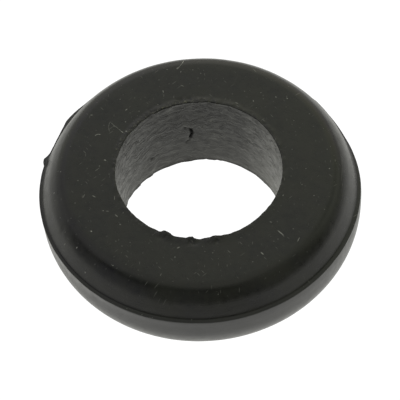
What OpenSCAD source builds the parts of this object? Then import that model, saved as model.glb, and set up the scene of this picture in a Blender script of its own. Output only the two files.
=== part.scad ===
// Thick rubber washer, moulded in one piece and bored through the middle.
// It stands on its lower face at Z = 0, with the bore along +Z.
// The section, from the top: flat face, rounded shoulder, sloping flank, small
// fillet, narrow lip, sharp moulding line, nearly upright wall, then a large
// round underneath.

/* [Overall size] */
// Outer diameter, over the sharp moulding line
outer_d = 32; // [30:0.5:40]
// Height from the lower face to the upper face
height = 10; // [9.5:0.25:12]
// Diameter of the straight bore
bore_d = 16.5; // [6:0.5:17]

/* [Upper shoulder] */
// Depth of the moulding line below the upper face
line_depth = 2.88; // [2.8:0.02:3.4]
// Steepness of the flank, in degrees from level
flank_angle = 58.5; // [56:0.5:62]
// Radius that rounds the upper face into the flank
shoulder_r = 2.4; // [1.2:0.05:2.5]

/* [Lip] */
// Width of the lip, from the moulding line in to the foot of the flank
lip_w = 0.33; // [0.3:0.01:0.6]
// Fall of the lip towards the moulding line, in degrees from level
lip_angle = 13; // [4:1:16]
// Radius of the fillet between the flank and the lip
fillet_r = 0.35; // [0.1:0.05:0.35]

/* [Lower body] */
// Draft of the wall below the moulding line, in degrees from upright
wall_draft = 0.5; // [0:0.5:3]
// Radius that rounds the wall into the lower face
foot_r = 5.2; // [3:0.1:5.5]

/* [Smoothness] */
// Segments in a full turn
turn_fn = 240; // [96:24:360]

/* [Hidden] */

// How far a straight side and the arc that it runs into overlap, so that
// the two cross cleanly instead of only touching.
nip = 0.002;

bore_r = bore_d / 2;
edge_r = outer_d / 2;
edge_z = height - line_depth;

// The lip rises inwards from the moulding line to its corner with the flank.
lip_dir = [-cos(lip_angle), sin(lip_angle)];
corner = [edge_r, edge_z] + lip_w / cos(lip_angle) * lip_dir;

// The flank falls outwards to the corner. The shoulder's arc touches the flank
// and the upper face.
flank_dir = [cos(flank_angle), -sin(flank_angle)];
flank_n = [sin(flank_angle), cos(flank_angle)];
shoulder_z = height - shoulder_r;
shoulder_c = [(flank_n * corner - shoulder_r - flank_n[1] * shoulder_z) / flank_n[0],
              shoulder_z];
flank_top = shoulder_c + (shoulder_r - nip) * flank_n;

// The fillet touches the flank and the lip at the same distance from the corner.
fillet_run = fillet_r * tan((flank_angle - lip_angle) / 2);
fillet_top = corner - fillet_run * flank_dir;
fillet_end = corner - fillet_run * lip_dir;
fillet_c = fillet_top + fillet_r * flank_n;

// The round underneath touches the wall and the lower face.
wall_n = [cos(wall_draft), -sin(wall_draft)];
foot_c = [(wall_n * [edge_r, edge_z] - foot_r * (1 + wall_n[1])) / wall_n[0], foot_r];
foot_top = foot_c + (foot_r - nip) * wall_n;

// Half section of the washer, with X as the radius and Y as the height.
module section() {
    difference() {
        union() {
            polygon([
                [bore_r - 1, 0],
                [foot_c[0], 0],
                foot_top,
                [edge_r, edge_z],
                fillet_end,
                fillet_top,
                flank_top,
                [shoulder_c[0], height],
                [bore_r - 1, height]
            ]);
            translate(shoulder_c) circle(r = shoulder_r, $fn = turn_fn);
            // Only the lower part of this disc is wanted.
            intersection() {
                translate(foot_c) circle(r = foot_r, $fn = turn_fn);
                square([edge_r, 1.2 * foot_r]);
            }
        }
        translate(fillet_c) circle(r = fillet_r + nip, $fn = turn_fn);
        // The bore, straight through.
        translate([0, -1]) square([bore_r, height + 2]);
    }
}

module washer() {
    color([0.19, 0.19, 0.18])
        rotate_extrude($fn = turn_fn)
            section();
}

washer();
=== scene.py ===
import math

import bpy
import numpy as np
from mathutils import Matrix, Vector


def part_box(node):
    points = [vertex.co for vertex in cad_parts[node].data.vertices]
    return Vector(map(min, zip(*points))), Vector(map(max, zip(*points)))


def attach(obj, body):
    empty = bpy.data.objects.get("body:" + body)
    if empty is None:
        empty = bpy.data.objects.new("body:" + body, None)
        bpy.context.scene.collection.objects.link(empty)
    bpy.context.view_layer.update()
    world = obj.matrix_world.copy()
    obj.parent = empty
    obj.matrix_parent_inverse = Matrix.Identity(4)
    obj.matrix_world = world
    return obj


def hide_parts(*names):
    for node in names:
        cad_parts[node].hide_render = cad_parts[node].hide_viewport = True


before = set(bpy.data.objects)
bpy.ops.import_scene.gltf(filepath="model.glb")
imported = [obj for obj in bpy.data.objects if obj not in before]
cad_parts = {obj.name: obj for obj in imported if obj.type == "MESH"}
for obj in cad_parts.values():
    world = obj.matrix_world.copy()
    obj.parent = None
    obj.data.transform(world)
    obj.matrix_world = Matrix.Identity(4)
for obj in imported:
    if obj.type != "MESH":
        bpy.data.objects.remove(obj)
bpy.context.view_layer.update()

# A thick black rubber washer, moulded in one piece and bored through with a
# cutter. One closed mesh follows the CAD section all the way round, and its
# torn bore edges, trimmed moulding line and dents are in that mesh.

box_lo, box_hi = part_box("washer")

# The section, in millimetres: the CAD's, with its shoulder refined into two
# arcs that lie within 0.1 mm of the CAD's one.
EDGE_R = box_hi.x * 1000
HEIGHT = box_hi.z * 1000
BORE_R = 8.25
EDGE_Z = 7.12
START_R = 13.0
BREAK, BREAK_R = 45.0, 1.60
FLANK, SHOULDER_R = 62.8, 4.3
LIP, FILLET_R = 3.0, 0.25
FOOT_R = 5.2
WALL_DRAFT = 0.5
FOOT_C = (EDGE_R - FOOT_R - 0.017, FOOT_R)

scene = bpy.context.scene


# ---------------------------------------------------------------- camera

def make_camera():
    elevation, roll = math.radians(55.55), math.radians(-3.91)
    aim = Vector((-0.0000702, -0.0036787, 0.010))
    back = Vector((0, -math.cos(elevation), math.sin(elevation)))
    right = Vector((1, 0, 0))
    up = Vector((0, math.sin(elevation), math.cos(elevation)))
    r2 = right * math.cos(roll) + up * math.sin(roll)
    u2 = -right * math.sin(roll) + up * math.cos(roll)
    cam = bpy.data.objects.new("camera", bpy.data.cameras.new("camera"))
    scene.collection.objects.link(cam)
    cam.data.lens = 207.0
    cam.data.sensor_width = 36.0
    cam.data.clip_start = 0.01
    cam.data.clip_end = 10.0
    m = Matrix((r2, u2, back)).transposed().to_4x4()
    m.translation = aim + back * 0.22425
    cam.matrix_world = m
    scene.camera = cam


make_camera()


# ---------------------------------------------------------------- helpers

def bell(x, centre, half):
    t = np.clip(1 - ((x - centre) / half) ** 2, 0, None)
    return t * t


def around(az, centre, half):
    """A bell in azimuth, in degrees, that wraps round."""
    d = (az - centre + 180) % 360 - 180
    return bell(d, 0, half)


def ring(az, points):
    """A value by azimuth from (azimuth, value) pairs, joined round the circle."""
    xs = [p[0] for p in points]
    ys = [p[1] for p in points]
    return np.interp(az, xs, ys, period=360)


def step(x, lo, hi):
    t = np.clip((x - lo) / (hi - lo), 0, 1)
    return t * t * (3 - 2 * t)


def lattice(ix, iy, iz, seed):
    h = (ix * 374761393 + iy * 668265263 + iz * 2147483647 + seed * 974711) & 0xFFFFFFFF
    h = ((h ^ (h >> 13)) * 1274126177) & 0xFFFFFFFF
    h = (h ^ (h >> 16)) & 0xFFFFFFFF
    return h / 2147483647.5 - 1.0


def noise(x, y, z, seed):
    """Smooth value noise from -1 to 1, one feature per unit."""
    fx, fy, fz = np.floor(x), np.floor(y), np.floor(z)
    ix, iy, iz = (f.astype(np.int64) for f in (fx, fy, fz))
    tx, ty, tz = (t * t * t * (t * (t * 6 - 15) + 10) for t in (x - fx, y - fy, z - fz))
    total = 0
    for dx in (0, 1):
        for dy in (0, 1):
            for dz in (0, 1):
                w = (tx if dx else 1 - tx) * (ty if dy else 1 - ty) * (tz if dz else 1 - tz)
                total = total + w * lattice(ix + dx, iy + dy, iz + dz, seed)
    return total


def rough(x, y, z, seed, octaves=3):
    total, gain = 0, 1.0
    for k in range(octaves):
        total = total + gain * noise(x * 2 ** k, y * 2 ** k, z * 2 ** k, seed + 17 * k)
        gain *= 0.5
    return total


# ---------------------------------------------------------------- the mesh

COLUMNS = 576


def azimuths():
    """Column azimuths in degrees: closer together at the torn front of the bore."""
    fine = np.linspace(-180, 180, 7201)
    density = 1 + 1.7 * around(fine, -97, 48) + 0.55 * around(fine, 105, 85)
    run = np.concatenate([[0], np.cumsum((density[1:] + density[:-1]) / 2)])
    return np.interp(np.arange(COLUMNS) / COLUMNS, run / run[-1], fine)


# How far the cutter left the upper bore edge standing in, in mm: torn nibs
# at the front, small steps elsewhere.
EDGE_IN = [
    (-178, 0.00), (-165, -0.03), (-150, -0.05), (-139, -0.07), (-130, -0.08),
    (-124, -0.10), (-121, -0.06), (-119.6, -0.12), (-118.3, -0.33), (-117, -0.33),
    (-115, -0.29), (-113, -0.23), (-111.4, -0.12), (-110, -0.06), (-107, -0.09),
    (-103.5, -0.12), (-101.5, -0.14), (-99.8, -0.24), (-97.2, -0.27), (-96.2, -0.12),
    (-94, -0.03), (-92.2, 0.00), (-91, -0.06), (-88.5, -0.12), (-87, -0.16),
    (-85.4, -0.10), (-83.5, -0.18), (-81.5, -0.21), (-79.4, -0.13), (-77.8, -0.06),
    (-75.5, -0.09), (-73.4, -0.02), (-66, -0.02), (-55, -0.04), (-45, -0.06),
    (-30, -0.02), (-8, 0.00), (20, -0.02), (42, 0.01), (58, -0.03), (66, 0.02),
    (75, -0.03), (80, 0.03), (88, -0.06), (94, 0.02), (100, -0.05), (104, 0.05),
    (108, -0.06), (114, 0.02), (119, -0.07), (122, 0.04), (127, -0.05), (131, 0.03),
    (138, -0.06), (146, 0.01), (156, -0.04), (168, 0.01),
]
# How high the torn edge is turned up above the upper face, in mm.
EDGE_UP = [
    (-160, 0.01), (-124, 0.02), (-119, 0.08), (-116, 0.14), (-112, 0.10),
    (-109, 0.03), (-102, 0.05), (-98, 0.12), (-95, 0.05), (-92, 0.02), (-87, 0.06),
    (-82, 0.13), (-78, 0.07), (-73, 0.02), (-40, 0.01), (20, 0.01), (55, 0.02),
    (70, 0.03), (84, 0.05), (92, 0.03), (101, 0.08), (107, 0.04), (113, 0.07),
    (121, 0.09), (128, 0.05), (134, 0.07), (143, 0.02), (170, 0.01),
]
# Steps in the lower bore edge, in mm, as the cutter broke through.
LOW_EDGE = [
    (-150, 0.02), (-120, -0.04), (-90, 0.03), (-60, -0.03), (-30, 0.02), (10, 0.00),
    (30, 0.01), (35, -0.05), (45, 0.00), (52, -0.03), (66, 0.03), (72, 0.07),
    (74, 0.02), (76, 0.08), (78, -0.01), (82, 0.00), (84, 0.08), (86, 0.01),
    (92, -0.01), (95, -0.08), (98, -0.07), (102, -0.01), (112, -0.05), (114, 0.00),
    (120, 0.03), (124.5, 0.06), (125.6, -0.05), (128, -0.05), (130, 0.01),
    (135, 0.06), (137, 0.04), (138, -0.03), (142, -0.01), (144, 0.04), (149, 0.02),
    (153, 0.09), (155.5, 0.01), (158, -0.05), (165, 0.02),
]
# How far the lip was trimmed back from the full moulding line, in mm.
TRIM = [
    (-180, 0.00), (-168, -0.02), (-150, 0.02), (-120, 0.00), (-95, 0.03), (-60, 0.00),
    (-30, 0.00), (-8, -0.02), (0, -0.03), (6, 0.03), (12, 0.13), (18, 0.26),
    (24, 0.31), (30, 0.38), (34, 0.34), (38, 0.32), (42, 0.44), (60, 0.36),
    (80, 0.26), (105, 0.20), (128, 0.28), (135, 0.24), (139, 0.14), (145, 0.04),
    (148, 0.20), (152, 0.30), (157, 0.32), (160.5, 0.27), (162.2, 0.10), (163.4, -0.12),
    (165, -0.07), (166.4, 0.10), (170, 0.06),
]


def section(az):
    """The section at each azimuth: arrays of radius, height and zone, top to bottom and back up."""
    n = len(az)
    one = np.ones(n)
    a = np.radians(az)
    fray = noise(3.1 * np.cos(a) * 8.25, 3.1 * np.sin(a) * 8.25, 0 * a, 5)
    round_r = 0.05 + 0.022 * fray + 0.015 * around(az, 105, 50)
    rows, zones = [], []

    def put(r, z, zone):
        rows.append((r * one, z * one))
        zones.append(zone)

    # Upper bore edge, slightly rounded by the tearing.
    for q in (0.0, 0.3, 0.6, 1.0):
        put(BORE_R + round_r * q * q, HEIGHT - round_r * (1 - q) ** 2, "top")
    # Upper face.
    fall, tilt, slope = math.radians(FLANK), math.radians(BREAK), math.radians(LIP)
    run = BREAK_R * math.sin(tilt) + SHOULDER_R * (math.sin(fall) - math.sin(tilt))
    drop = BREAK_R * (1 - math.cos(tilt)) + SHOULDER_R * (math.cos(tilt) - math.cos(fall))
    top = (START_R + run, HEIGHT - drop)
    length = START_R - BORE_R
    for s in (0.04, 0.09, 0.15, 0.22, 0.30, 0.39, 0.50, 0.62, 0.76, 0.93, 1.14, 1.4,
              1.7, 2.05, 2.45, 2.85, 3.25, 3.65, 4.0):
        put(BORE_R + round_r * (1 - s / length) + s, HEIGHT, "top")
    # Shoulder.
    for t in (0, 5, 10, 15, 20, 25, 30, 35, 40, 45, 47.5, 50, 52.5, 55, 57, 59, 61, FLANK):
        q = math.radians(t)
        if t <= BREAK:
            put(START_R + BREAK_R * math.sin(q), HEIGHT - BREAK_R * (1 - math.cos(q)), "shoulder")
        else:
            put(top[0] - SHOULDER_R * (math.sin(fall) - math.sin(q)),
                top[1] + SHOULDER_R * (math.cos(q) - math.cos(fall)), "shoulder")
    # Flank, down to the fillet.
    t = ((top[1] - EDGE_Z - (EDGE_R - top[0]) * math.tan(slope))
         / (math.sin(fall) - math.cos(fall) * math.tan(slope)))
    corner = (top[0] + math.cos(fall) * t, top[1] - math.sin(fall) * t)
    back = FILLET_R * math.tan((fall - slope) / 2)
    low = (corner[0] - back * math.cos(fall), corner[1] + back * math.sin(fall))
    centre = (low[0] + FILLET_R * math.sin(fall), low[1] + FILLET_R * math.cos(fall))
    for t in (0.2, 0.4, 0.6, 0.8):
        put(top[0] + t * (low[0] - top[0]), top[1] + t * (low[1] - top[1]), "flank")
    # Fillet.
    for q in np.linspace(fall, slope, 7):
        put(centre[0] - FILLET_R * math.sin(q), centre[1] - FILLET_R * math.cos(q), "fillet")
    # Lip, out to the sharp moulding line.
    end = (centre[0] - FILLET_R * math.sin(slope), centre[1] - FILLET_R * math.cos(slope))
    for t in (0.35, 0.7, 0.93):
        put(end[0] + t * (EDGE_R - end[0]), end[1] + t * (EDGE_Z - end[1]), "lip")
    put(EDGE_R - 0.012, EDGE_Z - 0.012, "lip")
    put(EDGE_R - 0.004, EDGE_Z - 0.05, "wall")
    # Wall.
    foot_top = FOOT_C[1] - FOOT_R * math.sin(math.radians(WALL_DRAFT))
    for t in (0.08, 0.2, 0.4, 0.6, 0.8):
        z = EDGE_Z + t * (foot_top - EDGE_Z)
        put(EDGE_R - (EDGE_Z - z) * math.tan(math.radians(WALL_DRAFT)), z, "wall")
    # Round underneath.
    for t in np.linspace(WALL_DRAFT, 90, 24):
        put(FOOT_C[0] + FOOT_R * math.cos(math.radians(t)),
            FOOT_C[1] - FOOT_R * math.sin(math.radians(t)), "foot")
    # Lower face.
    for r in (10.4, 10.0, 9.6, 9.25, 8.95, 8.7, 8.52, 8.4):
        put(r, 0.0, "low")
    # Lower bore edge, with the thin lip that the cutter left.
    for r, z in ((8.29, 0.0), (8.245, 0.012), (8.225, 0.035), (8.225, 0.07), (8.235, 0.12),
                 (8.252, 0.19), (8.268, 0.28), (8.272, 0.38), (8.265, 0.52)):
        put(r, z, "burr")
    # Bore wall.
    for z in np.linspace(0.7, HEIGHT - 0.62, 46):
        put(BORE_R, z, "bore")
    for d in (0.46, 0.34, 0.24, 0.15, 0.08, 0.03):
        put(BORE_R, HEIGHT - round_r - d, "bore")
    r = np.array([q[0] for q in rows])
    z = np.array([q[1] for q in rows])
    return r, z, zones


def capsule(u, v, points, radius):
    """How deep inside a bent groove each point lies, from 0 at its side to 1 on its line."""
    best = np.full(np.shape(u), 9e9)
    for (u0, v0), (u1, v1) in zip(points[:-1], points[1:]):
        du, dv = u1 - u0, v1 - v0
        t = np.clip(((u - u0) * du + (v - v0) * dv) / (du * du + dv * dv), 0, 1)
        best = np.minimum(best, np.hypot(u - u0 - t * du, v - v0 - t * dv))
    return np.clip(1 - best / radius, 0, 1)


def build_washer():
    az = azimuths()
    r, z, zones = section(az)
    rows = len(zones)
    zone = np.array(zones)[:, None]
    azg = np.broadcast_to(az, r.shape)
    a = np.radians(azg)
    r0, z0 = r.copy(), z.copy()
    x0, y0 = r0 * np.cos(a), r0 * np.sin(a)
    on_top = (zone == "top") | (zone == "shoulder")
    on_bore = (zone == "bore") | (zone == "burr")
    outer = np.isin(zone, ("flank", "fillet", "lip", "wall", "foot"))

    # The torn upper bore edge.
    s = np.clip(r0 - BORE_R, 0, None)
    d = np.clip(HEIGHT - z0, 0, None)
    crumbs = rough(x0 * 2.6, y0 * 2.6, z0 * 2.0, 11, 3)
    edge_in = ring(azg, EDGE_IN) + 0.018 * crumbs * (1 + around(azg, 110, 60))
    edge_up = ring(azg, EDGE_UP) + 0.022 * rough(x0 * 2.2, y0 * 2.2, z0 * 0, 23, 3)
    near_top = np.where(on_top, np.exp(-((s / 0.34) ** 2)), 0)
    near_wall = np.where(zone == "bore", np.exp(-((d / 0.36) ** 2)), 0)
    r += edge_in * (near_top + near_wall)
    lift = np.where(on_top, bell(s, 0.05, 0.62), 0)
    r_pull = np.where(zone == "bore", bell(d, 0.0, 0.22), 0)
    z += edge_up * lift
    z += edge_up * r_pull
    # Pits torn out of the upper face just behind the nibs.
    pits = rough(x0 * 2.3, y0 * 2.3, z0 * 0, 41, 3)
    torn = (around(azg, -114, 9) + around(azg, -98, 7) + around(azg, -83, 9)
            + 0.8 * around(azg, 102, 14) + 0.7 * around(azg, 121, 16) + 0.5 * around(azg, 84, 12))
    z -= np.where(on_top, torn * np.clip(pits + 0.15, 0, 1) * bell(s, 0.38, 0.42) * 0.10, 0)

    # The bore wall: waves and drag marks left by the cutter, mostly level.
    drag = rough(x0 * 0.55, y0 * 0.55, z0 * 2.4, 61, 2)
    slow = noise(x0 * 0.22, y0 * 0.22, z0 * 0.35, 71)
    chatter = noise(x0 * 0.9, y0 * 0.9, z0 * 0.5, 75) * around(azg, 140, 45)
    mid = np.where(on_bore, step(z0, 0.05, 0.8) * step(HEIGHT - z0, 0.1, 1.0), 0)
    r += mid * (0.012 * drag + 0.035 * slow + 0.022 * chatter)
    # The deep hooked nick and the small dent in it.
    arc = np.radians(azg - 95.0) * BORE_R
    hook = capsule(arc, z0, [(0.42, 5.95), (-0.02, 5.72), (-0.27, 5.25), (-0.32, 4.80),
                             (-0.12, 4.25), (0.0, 3.78), (0.35, 3.4)], 0.13)
    core = capsule(arc, z0, [(-0.20, 5.45), (-0.33, 4.95), (-0.22, 4.55), (-0.10, 4.25)], 0.21)
    dent = capsule(np.radians(azg - 124.3) * BORE_R, z0, [(-0.08, 2.7), (0.1, 2.84)], 0.34)
    r += np.where(on_bore, 0.10 * hook + 0.20 * core + 0.08 * dent, 0)

    # The lower bore edge.
    low_step = ring(azg, LOW_EDGE) + 0.012 * rough(x0 * 2.4, y0 * 2.4, z0 * 0, 83, 2)
    near_low = np.where((zone == "burr") | (zone == "bore"), np.exp(-((z0 / 0.42) ** 2)), 0)
    near_low = near_low + np.where(zone == "low", np.exp(-(((r0 - BORE_R) / 0.3) ** 2)), 0)
    r += low_step * near_low

    # The moulding line: trimmed unevenly, with a nub of flash left on.
    trim = ring(azg, TRIM) + 0.010 * noise(x0 * 1.1, y0 * 1.1, z0 * 0, 91)
    lip_run = np.clip((r0 - 15.2) / (EDGE_R - 15.2), 0, 1) ** 1.2
    below = np.exp(-((EDGE_Z - z0) / 1.5) ** 2)
    r -= np.where(outer, trim * np.where(z0 >= EDGE_Z - 0.013, lip_run, below), 0)
    # The lip is narrower on the left, and trimmed to a slope on the right.
    r += np.where(outer & (z0 >= EDGE_Z - 0.013) | (zone == "shoulder"),
                  (0.13 * around(azg, 184, 62) + 0.02 * around(azg, 0, 48))
                  * step(r0, 14.2, 15.5) * np.clip((EDGE_R - r0) / 0.40, 0, 1), 0)
    bevel = np.where(z0 >= EDGE_Z - 0.013, lip_run, np.exp(-((EDGE_Z - z0) / 0.9) ** 2))
    z -= np.where(outer, 0.26 * around(azg, 2, 46) * bevel, 0)
    wave = 0.018 * noise(x0 * 0.35, y0 * 0.35, z0 * 0, 95)
    z += np.where(np.isin(zone, ("fillet", "lip")), wave * lip_run, 0)

    # Slow unevenness of the moulded rubber.
    uneven = rough(x0 * 0.16, y0 * 0.16, z0 * 0.16, 101, 2)
    grainy = rough(x0 * 0.75, y0 * 0.75, z0 * 0.75, 111, 2)
    z += np.where(on_top, (0.016 * uneven + 0.004 * grainy) * step(s, 0.2, 1.0), 0)
    r += np.where(np.isin(zone, ("shoulder", "flank")), 0.012 * uneven + 0.005 * grainy, 0)
    r += np.where(np.isin(zone, ("wall", "foot")), 0.006 * uneven + 0.003 * grainy, 0)
    # A small cut in the shoulder on the left.
    cut = capsule(np.radians(azg + 158.25) * 14.5, r0, [(0.0, 14.55), (0.03, 14.80)], 0.13)
    r -= np.where(np.isin(zone, ("shoulder", "flank")), 0.10 * cut, 0)

    # The mould's two halves met slightly out of line.
    x = r * np.cos(a)
    y = r * np.sin(a)
    shift = np.where(np.isin(zone, ("wall", "foot", "low")), 1 - step(z0, 6.2, EDGE_Z), 0)
    shift = shift * step(r0, 9.5, 12.0)
    x = x + 0.055 * shift - 0.02 * np.where(outer, lip_run, 0) * (1 - shift)
    z = np.where(zone == "low", np.clip(z, 0, None), z)

    cos = np.stack([x, y, z], -1).reshape(-1, 3) / 1000.0
    n = COLUMNS
    k = np.arange(rows)[:, None]
    j = np.arange(n)[None, :]
    k1, j1 = (k + 1) % rows, (j + 1) % n
    quads = np.stack([k * n + j, k1 * n + j, k1 * n + j1, k * n + j1], -1).reshape(-1, 4)
    mesh = bpy.data.meshes.new("washer_rubber")
    mesh.vertices.add(len(cos))
    mesh.vertices.foreach_set("co", cos.astype(np.float32).ravel())
    mesh.loops.add(quads.size)
    mesh.loops.foreach_set("vertex_index", quads.astype(np.int32).ravel())
    mesh.polygons.add(len(quads))
    mesh.polygons.foreach_set("loop_start", np.arange(0, quads.size, 4, dtype=np.int32))
    mesh.update(calc_edges=True)
    mesh.validate()
    mesh.polygons.foreach_set("use_smooth", np.ones(len(mesh.polygons), bool))

    # How torn each point is, for the material: the cutter's damage is duller.
    wear = np.clip(near_top * step(np.abs(edge_up), 0.02, 0.1) * 0.6 + np.where(on_top, torn, 0)
                   * bell(s, 0.3, 0.5) * 0.7, 0, 1)
    # How deep each point lies in the nicks and the shoulder cut. The material darkens these with painted shade and
    # makes them duller.
    nick_shade = np.where(on_bore, np.clip(0.45 * hook + 1.3 * core + 0.5 * dent, 0, 1), 0)
    nick_shade = np.maximum(nick_shade, np.where(np.isin(zone, ("shoulder", "flank")), np.clip(1.2 * cut, 0, 1), 0))
    zone_code = np.where(on_bore, 1.0, 0.0) * np.ones(r.shape)
    for name, values in (("torn", wear), ("nick_shade", nick_shade), ("bore", zone_code)):
        att = mesh.attributes.new(name, "FLOAT", "POINT")
        att.data.foreach_set("value", np.broadcast_to(values, r.shape).astype(np.float32).ravel())
    mesh.set_sharp_from_angle(angle=math.radians(60))
    obj = bpy.data.objects.new("washer_rubber", mesh)
    scene.collection.objects.link(obj)
    return obj


# ---------------------------------------------------------------- materials

class Nodes:
    """Short calls for building a node tree."""

    def __init__(self, tree):
        self.tree = tree

    def add(self, kind, *inputs, **settings):
        node = self.tree.nodes.new(kind)
        for key, value in settings.items():
            setattr(node, key, value)
        for i, value in enumerate(inputs):
            if value is not None:
                self.put(node.inputs[i], value)
        return node

    def put(self, socket, value):
        if isinstance(value, bpy.types.NodeSocket):
            self.tree.links.new(value, socket)
        else:
            socket.default_value = value

    def math(self, op, *inputs, clamp=False):
        return self.add("ShaderNodeMath", *inputs, operation=op, use_clamp=clamp).outputs[0]

    def vec(self, op, *inputs):
        return self.add("ShaderNodeVectorMath", *inputs, operation=op)

    def remap(self, value, lo, hi, to_lo=0.0, to_hi=1.0, smooth=True):
        node = self.add("ShaderNodeMapRange", value, lo, hi, to_lo, to_hi, clamp=True)
        node.interpolation_type = "SMOOTHSTEP" if smooth else "LINEAR"
        return node.outputs[0]

    def mix(self, factor, a, b):
        node = self.add("ShaderNodeMix", data_type="RGBA")
        self.put(node.inputs[0], factor)
        self.put(node.inputs[6], a)
        self.put(node.inputs[7], b)
        return node.outputs[2]

    def noise(self, vector, scale, detail, roughness):
        node = self.add("ShaderNodeTexNoise", vector)
        node.inputs["Scale"].default_value = scale
        node.inputs["Detail"].default_value = detail
        node.inputs["Roughness"].default_value = roughness
        return node.outputs[0]


# Dust and lint seen on the upper side: x, y, length, width (mm), angle
# (degrees), strength from 0 to 1.
DUST = [
    (7.47, -8.14, 0.90, 0.13, 131, 0.62), (5.53, -10.37, 0.44, 0.15, 129, 0.55),
    (-10.77, -6.47, 0.17, 0.15, 0, 1.00), (9.12, -9.06, 0.62, 0.11, 62, 0.42),
    (-10.40, -2.39, 0.45, 0.11, 145, 0.50), (-8.28, -4.85, 0.43, 0.12, 132, 0.48),
    (-6.83, 7.89, 0.33, 0.13, 42, 0.48), (-9.16, 1.86, 0.27, 0.15, 152, 0.60),
    (-3.03, 9.87, 0.36, 0.12, 99, 0.50), (-2.47, -9.04, 0.36, 0.13, 25, 0.48),
    (-6.94, 5.22, 0.17, 0.14, 0, 0.85), (-1.45, 12.71, 0.40, 0.11, 48, 0.45),
    (-10.34, 7.53, 0.28, 0.15, 169, 0.34), (4.27, 7.79, 0.42, 0.10, 146, 0.42),
    (-8.39, -2.75, 0.55, 0.08, 88, 0.34), (-2.84, -10.10, 0.20, 0.13, 83, 0.40),
    (6.62, -6.81, 0.28, 0.13, 149, 0.32), (5.95, 7.92, 0.26, 0.11, 102, 0.56),
    (8.24, 8.21, 0.24, 0.13, 102, 0.42), (-9.55, -4.16, 0.14, 0.12, 0, 0.58),
    (-11.39, -2.27, 0.50, 0.12, 61, 0.28), (-12.26, -3.03, 0.14, 0.12, 0, 0.40),
    (-9.13, -4.25, 0.34, 0.14, 174, 0.27), (-8.14, 5.97, 0.26, 0.12, 115, 0.34),
    (-1.07, 10.43, 0.42, 0.08, 144, 0.44), (7.16, -8.85, 0.13, 0.11, 0, 0.30),
    (8.05, -3.79, 0.24, 0.11, 54, 0.40), (0.88, 11.85, 0.14, 0.12, 0, 0.42),
    (-7.87, -8.42, 0.13, 0.11, 0, 0.24), (-1.13, 12.22, 0.25, 0.12, 55, 0.38),
    (9.36, 7.92, 0.16, 0.14, 0, 0.56), (0.10, 12.36, 0.14, 0.12, 30, 0.32),
    (-8.44, -7.81, 0.13, 0.12, 0, 0.32), (8.71, -7.78, 0.14, 0.12, 0, 0.32),
    (-9.74, 1.20, 0.15, 0.12, 20, 0.40), (-4.29, -11.99, 0.40, 0.08, 64, 0.28),
    (4.56, -11.25, 0.14, 0.12, 0, 0.30), (-11.91, -0.37, 0.15, 0.12, 70, 0.36),
    (-5.55, 7.60, 0.14, 0.12, 0, 0.30), (-7.61, -4.57, 0.13, 0.12, 0, 0.28),
    (11.04, -4.07, 0.15, 0.12, 110, 0.38), (0.81, -9.91, 0.14, 0.12, 0, 0.32),
    (-6.97, 6.39, 0.16, 0.13, 40, 0.44), (-7.95, -5.91, 0.17, 0.13, 15, 0.46),
    (10.52, -0.80, 0.14, 0.12, 0, 0.34), (-2.50, 12.62, 0.16, 0.12, 0, 0.40),
    (-3.63, 8.27, 0.14, 0.12, 0, 0.34), (9.98, -2.67, 0.14, 0.12, 0, 0.34),
    (6.78, 8.90, 0.15, 0.12, 60, 0.36), (12.82, -0.99, 0.17, 0.13, 0, 0.54),
    (1.25, 11.72, 0.13, 0.12, 0, 0.30), (-7.41, 9.23, 0.13, 0.12, 0, 0.32),
    (5.15, 9.21, 0.14, 0.12, 0, 0.34), (9.81, 5.13, 0.13, 0.12, 0, 0.30),
    (-13.51, -6.65, 0.16, 0.13, 0, 0.50), (-12.29, -7.67, 0.17, 0.14, 0, 0.55),
    (-8.82, -10.47, 0.16, 0.13, 0, 0.45), (-11.63, -9.82, 0.15, 0.12, 0, 0.42),
    (-13.61, 0.92, 0.16, 0.13, 0, 0.45), (-14.35, -1.15, 0.20, 0.12, 80, 0.48),
    (-6.38, -14.54, 0.16, 0.13, 0, 0.40), (-5.40, -14.96, 0.15, 0.12, 0, 0.40),
]
# Fibres lying on it, and last a painted highlight streak on the shoulder: points (mm), then width (mm) and
# strength.
FIBRES_AND_HIGHLIGHT = [
    ([(-8.44, 6.43), (-8.13, 6.07), (-7.70, 5.58), (-7.46, 5.30)], 0.055, 0.42),
    ([(-7.46, 5.30), (-7.25, 5.06)], 0.085, 0.80),
    ([(-10.05, 4.95), (-9.93, 5.05), (-9.77, 5.10), (-9.51, 5.04)], 0.085, 0.75),
    ([(-8.49, 6.54), (-8.64, 6.20), (-8.68, 5.89), (-8.63, 5.33)], 0.055, 0.36),
    ([(-1.47, 12.57), (-1.17, 12.96), (-0.95, 13.27)], 0.075, 0.55),
    ([(-0.95, 13.27), (-0.71, 13.88)], 0.095, 1.00),
    ([(6.20, 12.09), (6.47, 11.55)], 0.065, 0.42),
    ([(7.28, -7.86), (7.50, -8.17), (7.76, -8.60)], 0.060, 0.45),
    # Not a fibre: a painted highlight, a thin pale streak along the shoulder's edge on the right.
    ([(14.18, 0.81), (14.13, -0.60), (13.91, -2.19)], 0.060, 0.14),
]


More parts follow.
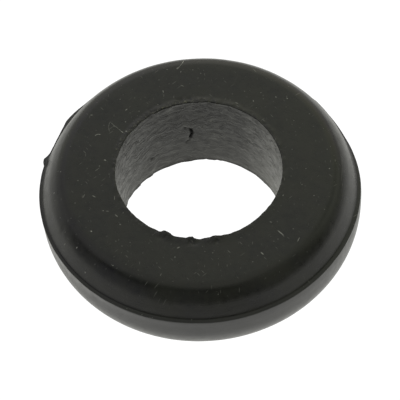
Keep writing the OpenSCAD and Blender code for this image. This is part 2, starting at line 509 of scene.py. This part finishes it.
def rubber_material():
    mat = bpy.data.materials.new("black_rubber")
    mat.use_nodes = True
    tree = mat.node_tree
    tree.nodes.clear()
    n = Nodes(tree)
    out = n.add("ShaderNodeOutputMaterial")
    bsdf = n.add("ShaderNodeBsdfPrincipled")
    tree.links.new(bsdf.outputs[0], out.inputs[0])
    bsdf.inputs["IOR"].default_value = 1.5

    # Coordinates in millimetres.
    scaled = n.vec("SCALE", n.add("ShaderNodeTexCoord").outputs["Object"])
    scaled.inputs["Scale"].default_value = 1000.0
    mm = scaled.outputs[0]
    x, y, z = n.add("ShaderNodeSeparateXYZ", mm).outputs
    facing = n.add("ShaderNodeSeparateXYZ", n.add("ShaderNodeNewGeometry").outputs["Normal"]).outputs[2]
    torn, nick_shade, bore = (n.add("ShaderNodeAttribute", attribute_name=name).outputs["Fac"]
                        for name in ("torn", "nick_shade", "bore"))
    upper = n.remap(z, 6.95, 7.25)
    face = n.math("MULTIPLY", n.remap(facing, 0.93, 0.995), upper)
    wall = n.math("MULTIPLY", n.math("SUBTRACT", 1.0, upper), n.math("SUBTRACT", 1.0, bore))

    # Mottling: slow patches with a finer grain on top.
    patches = n.noise(mm, 0.34, 3.0, 0.55)
    mottle = n.noise(mm, 1.5, 4.0, 0.6)
    grain = n.noise(mm, 6.5, 3.0, 0.55)
    # Marks along the section: faint rings round the moulded sides.
    rings = n.noise(n.vec("MULTIPLY", mm, (0.10, 0.10, 4.2)).outputs[0], 1.0, 3.0, 0.6)
    # The cutter's marks: short, nearly level scratches on the bore wall, more of them in its upper part, with
    # painted highlights along some of them.
    warp = n.noise(mm, 0.6, 2.0, 0.5)
    tilt = n.math("MULTIPLY_ADD", n.math("SUBTRACT", warp, 0.5), 2.2, z)
    level = n.add("ShaderNodeCombineXYZ", x, y, tilt).outputs[0]
    scratch = n.noise(n.vec("MULTIPLY", level, (0.85, 0.85, 4.6)).outputs[0], 1.0, 2.0, 0.62)
    fine = n.noise(n.vec("MULTIPLY", level, (1.25, 1.25, 5.6)).outputs[0], 1.0, 1.0, 0.5)
    gouge = n.noise(n.vec("MULTIPLY", level, (0.5, 0.5, 1.9)).outputs[0], 1.0, 1.0, 0.5)
    blotch = n.noise(mm, 0.75, 3.0, 0.6)
    worked = n.math("MULTIPLY", n.remap(z, 1.2, 5.5, 0.35, 1.0), n.remap(blotch, 0.36, 0.62, 0.45, 1.0))
    dash = n.math("MULTIPLY", n.remap(fine, 0.57, 0.62), worked)
    painted_glint = n.math("MULTIPLY", n.remap(scratch, 0.58, 0.68), n.remap(blotch, 0.42, 0.62, 0.2, 1.0))

    # Colour.
    tone = n.mix(n.remap(patches, 0.34, 0.66), (0.0046, 0.0046, 0.0056, 1), (0.0106, 0.0106, 0.0080, 1))
    tone = n.mix(n.math("MULTIPLY", n.remap(mottle, 0.35, 0.70), 0.55), tone, (0.0135, 0.0134, 0.0106, 1))
    cut = n.mix(n.remap(scratch, 0.38, 0.62), (0.0034, 0.0034, 0.0026, 1), (0.0150, 0.0150, 0.0105, 1))
    cut = n.mix(n.math("MULTIPLY", n.remap(z, 6.5, 0.5), 0.5), cut, (0.0190, 0.0190, 0.0140, 1))
    # Painted light: the bore wall's right side is made much lighter, and its left side a little.
    painted_light_side = n.math("ADD", n.remap(x, 4.2, 7.9, 0.0, 1.0), n.remap(x, -4.6, -7.8, 0.0, 0.13))
    cut = n.mix(painted_light_side, cut, (0.1300, 0.1300, 0.1160, 1))
    # Painted highlights: pale glints along some of the scratches.
    cut = n.mix(n.math("MULTIPLY", painted_glint, 0.55), cut, (0.1300, 0.1300, 0.1120, 1))
    cut = n.mix(n.math("MULTIPLY", dash, 0.9), cut, (0.0020, 0.0020, 0.0018, 1))
    tone = n.mix(bore, tone, cut)
    tone = n.mix(n.math("MULTIPLY", wall, n.remap(rings, 0.35, 0.7, 0.45, 0.68)), tone, (0.0380, 0.0375, 0.0440, 1))
    tone = n.mix(n.math("MULTIPLY", torn, 0.85), tone, (0.0042, 0.0042, 0.0038, 1))
    # Painted shade: the nicks and the shoulder cut are darkened nearly to black.
    tone = n.mix(nick_shade, tone, (0.0015, 0.0015, 0.0014, 1))
    # Crumbs of rubber, pale and dark, left along the upper bore edge at the back.
    crumb = n.noise(mm, 3.4, 3.0, 0.65)
    out_r = n.vec("LENGTH", n.vec("MULTIPLY", mm, (1.0, 1.0, 0.0)).outputs[0]).outputs["Value"]
    rim = n.math("MULTIPLY", n.remap(out_r, 8.95, 8.45), n.remap(z, 9.70, 9.88))
    rim = n.math("MULTIPLY", rim, n.math("MULTIPLY", n.remap(y, 1.0, 4.0), n.remap(x, 4.0, -1.5, 0.15, 1.0)))
    tone = n.mix(n.math("MULTIPLY", n.remap(crumb, 0.50, 0.42), rim), tone, (0.0018, 0.0018, 0.0016, 1))
    tone = n.mix(n.math("MULTIPLY", n.remap(crumb, 0.56, 0.64, 0.0, 0.55), rim), tone, (0.1500, 0.1480, 0.0950, 1))

    # Dust and lint, and the painted highlight streak listed with the fibres.
    flat = n.vec("MULTIPLY", mm, (1.0, 1.0, 0.0)).outputs[0]
    marks = None
    spots = list(DUST)
    for points, width, strength in FIBRES_AND_HIGHLIGHT:
        for (x0, y0), (x1, y1) in zip(points[:-1], points[1:]):
            length = math.hypot(x1 - x0, y1 - y0)
            spots.append(((x0 + x1) / 2, (y0 + y1) / 2, length * 1.25, width,
                          math.degrees(math.atan2(y1 - y0, x1 - x0)), strength))
    at = flat
    for k, (sx, sy, length, width, angle, strength) in enumerate(spots):
        if k % 6 == 5:
            # Waits for the marks so far, which keeps the shader's stack small.
            at = n.vec("MULTIPLY_ADD", marks, (1e-9, 1e-9, 0.0), flat).outputs[0]
        place = n.add("ShaderNodeMapping", at, vector_type="TEXTURE")
        place.inputs["Location"].default_value = (sx, sy, 0)
        place.inputs["Rotation"].default_value = (0, 0, math.radians(angle))
        place.inputs["Scale"].default_value = (length * 0.52, width * 0.50, 1)
        away = n.vec("LENGTH", place.outputs[0]).outputs["Value"]
        spot = n.math("MULTIPLY", n.math("MULTIPLY_ADD", away, -2.2, 2.2, clamp=True), strength)
        marks = spot if marks is None else n.math("MAXIMUM", marks, spot)
    marks = n.math("MULTIPLY", marks, n.math("MULTIPLY", upper, n.math("SUBTRACT", 1.0, bore)))
    # Fainter specks everywhere that dust can settle, and a few short threads.
    loose = None
    for angle, shape, scale, share in ((0, (1.0, 1.0), 0.0, 0.0), (12, (1.0, 0.8), 1.05, 0.16),
                                       (37, (3.0, 0.40), 0.72, 0.17), (-52, (2.4, 0.42), 0.78, 0.15),
                                       (84, (2.0, 0.45), 0.80, 0.12)):
        place = n.add("ShaderNodeMapping", mm, vector_type="TEXTURE")
        place.inputs["Location"].default_value = (angle * 0.11, 3.1, 0.4)
        place.inputs["Rotation"].default_value = (0, 0, math.radians(angle))
        place.inputs["Scale"].default_value = (*shape, 1.0)
        cells = n.add("ShaderNodeTexVoronoi", place.outputs[0], feature="F1",
                      voronoi_dimensions="2D" if scale else "3D")
        cells.inputs["Scale"].default_value = scale or 1.25
        pick = n.add("ShaderNodeSeparateColor", cells.outputs["Color"]).outputs
        fleck = n.math("SUBTRACT", n.math("MULTIPLY_ADD", pick[0], 0.16, -0.065), cells.outputs["Distance"])
        fleck = n.math("MULTIPLY", n.math("MULTIPLY", fleck, 20.0, clamp=True),
                       n.math("MULTIPLY_ADD", pick[1], (share or 0.20) * 1.3, 0.04))
        if scale:
            fleck = n.math("MULTIPLY", fleck, n.remap(facing, 0.35, 0.75))
        loose = fleck if loose is None else n.math("MAXIMUM", loose, fleck)
    loose = n.math("MULTIPLY", loose, n.math("MULTIPLY_ADD", bore, -0.6, 1.0))
    dust_and_highlight = n.math("MAXIMUM", marks, loose)
    # Dust, lint and the painted highlight streak lighten the colour here.
    colour = n.mix(dust_and_highlight, tone, (0.46, 0.46, 0.43, 1))
    tree.links.new(colour, bsdf.inputs["Base Color"])

    # Gloss.
    gloss = n.remap(mottle, 0.3, 0.72, 0.27, 0.35)
    gloss = n.math("ADD", gloss, n.math("MULTIPLY", n.remap(scratch, 0.38, 0.62, 0.20, 0.05), bore))
    gloss = n.math("ADD", gloss, n.math("MULTIPLY", torn, 0.22))
    gloss = n.math("ADD", gloss, n.math("MULTIPLY", nick_shade, 0.5))
    gloss = n.math("ADD", gloss, n.math("MULTIPLY", wall, 0.03))
    gloss = n.math("ADD", gloss, n.math("MULTIPLY", dust_and_highlight, 0.5), clamp=True)
    tree.links.new(gloss, bsdf.inputs["Roughness"])

    # Relief in millimetres.
    skin = n.math("MULTIPLY_ADD", grain, 0.0035, n.math("MULTIPLY", mottle, 0.009))
    skin = n.math("ADD", skin, n.math("MULTIPLY", n.math("MULTIPLY", rings, 0.005), n.math("SUBTRACT", 1.0, face)))
    cutter = n.math("MULTIPLY_ADD", scratch, 0.020, n.math("MULTIPLY_ADD", dash, -0.030, n.math("MULTIPLY", gouge, 0.045)))
    cutter = n.math("MULTIPLY", cutter, n.math("MULTIPLY_ADD", worked, 0.7, 0.3))
    height = n.math("ADD", skin, n.math("MULTIPLY", cutter, bore))
    ragged = n.math("MAXIMUM", torn, n.math("MULTIPLY", rim, 0.6))
    height = n.math("ADD", height, n.math("MULTIPLY", n.math("MULTIPLY", crumb, 0.09), ragged))
    bump = n.add("ShaderNodeBump")
    bump.inputs["Strength"].default_value = 1.0
    bump.inputs["Distance"].default_value = 0.001
    tree.links.new(height, bump.inputs["Height"])
    tree.links.new(bump.outputs[0], bsdf.inputs["Normal"])
    return mat


# ---------------------------------------------------------------- stage

# Soft panels round a white table: elevation, azimuth (degrees) and colour.
PANELS = [
    (6, 60, (0.54, 0.51, 0.51)), (6, 120, (0.24, 0.25, 0.14)), (6, 150, (0.52, 0.52, 0.53)),
    (6, 210, (0.36, 0.36, 0.38)), (26, 15, (0.50, 0.52, 0.42)), (26, 75, (0.45, 0.45, 0.29)),
    (26, 105, (0.60, 0.58, 0.65)), (26, 255, (0.26, 0.27, 0.23)), (26, 315, (0.33, 0.34, 0.28)),
    (46, 40, (0.32, 0.34, 0.27)), (46, 160, (0.51, 0.50, 0.51)), (56, 90, (0.40, 0.42, 0.37)),
    (66, 210, (0.21, 0.23, 0.19)), (66, 330, (0.34, 0.35, 0.30)), (90, 0, (0.31, 0.30, 0.27)),
]
PANEL_HALF = 34.0
# The table: white under the washer, and a little dimmer further away.
TABLE_WHITE = (1.0, 1.0, 0.945, 1)
TABLE_FAR = (0.60, 0.60, 0.567, 1)
BACKDROP = (1.1, 1.1, 1.1, 1)


def make_world():
    world = bpy.data.worlds.new("studio")
    world.use_nodes = True
    scene.world = world
    tree = world.node_tree
    tree.nodes.clear()
    n = Nodes(tree)
    toward = n.vec("NORMALIZE", n.add("ShaderNodeTexCoord").outputs["Generated"]).outputs[0]
    light = None
    for elevation, azimuth, colour in PANELS:
        e, a = math.radians(elevation), math.radians(azimuth)
        axis = (math.cos(e) * math.cos(a), math.cos(e) * math.sin(a), math.sin(e))
        dot = n.vec("DOT_PRODUCT", toward, axis).outputs["Value"]
        glow = n.vec("SCALE", colour)
        n.put(glow.inputs["Scale"], n.remap(dot, math.cos(math.radians(PANEL_HALF)), 1.0))
        light = glow.outputs[0] if light is None else n.vec("ADD", light, glow.outputs[0]).outputs[0]
    out = n.add("ShaderNodeOutputWorld")
    panels = n.add("ShaderNodeBackground", light, 1.0)
    backdrop = n.add("ShaderNodeBackground", BACKDROP, 1.0)
    direct = n.add("ShaderNodeLightPath").outputs["Is Camera Ray"]
    both = n.add("ShaderNodeMixShader", direct, panels.outputs[0], backdrop.outputs[0])
    tree.links.new(both.outputs[0], out.inputs[0])


def make_floor():
    mesh = bpy.data.meshes.new("floor")
    half = 0.9
    mesh.from_pydata([(-half, -half, -0.00002), (half, -half, -0.00002), (half, half, -0.00002),
                      (-half, half, -0.00002)], [], [(0, 1, 2, 3)])
    floor = bpy.data.objects.new("floor", mesh)
    scene.collection.objects.link(floor)
    mat = bpy.data.materials.new("pale_floor")
    mat.use_nodes = True
    tree = mat.node_tree
    tree.nodes.clear()
    n = Nodes(tree)
    out = n.add("ShaderNodeOutputMaterial")
    direct = n.add("ShaderNodeLightPath").outputs["Is Camera Ray"]
    away = n.vec("LENGTH", n.add("ShaderNodeNewGeometry").outputs["Position"]).outputs["Value"]
    table = n.mix(n.remap(away, 0.012, 0.105), TABLE_WHITE, TABLE_FAR)
    glow = n.add("ShaderNodeEmission", n.mix(direct, table, BACKDROP), 1.0)
    tree.links.new(glow.outputs[0], out.inputs[0])
    mesh.materials.append(mat)
    return floor


washer = build_washer()
washer.data.materials.append(rubber_material())
make_world()
make_floor()
scene.view_settings.view_transform = "Standard"

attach(washer, "root")
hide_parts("washer")
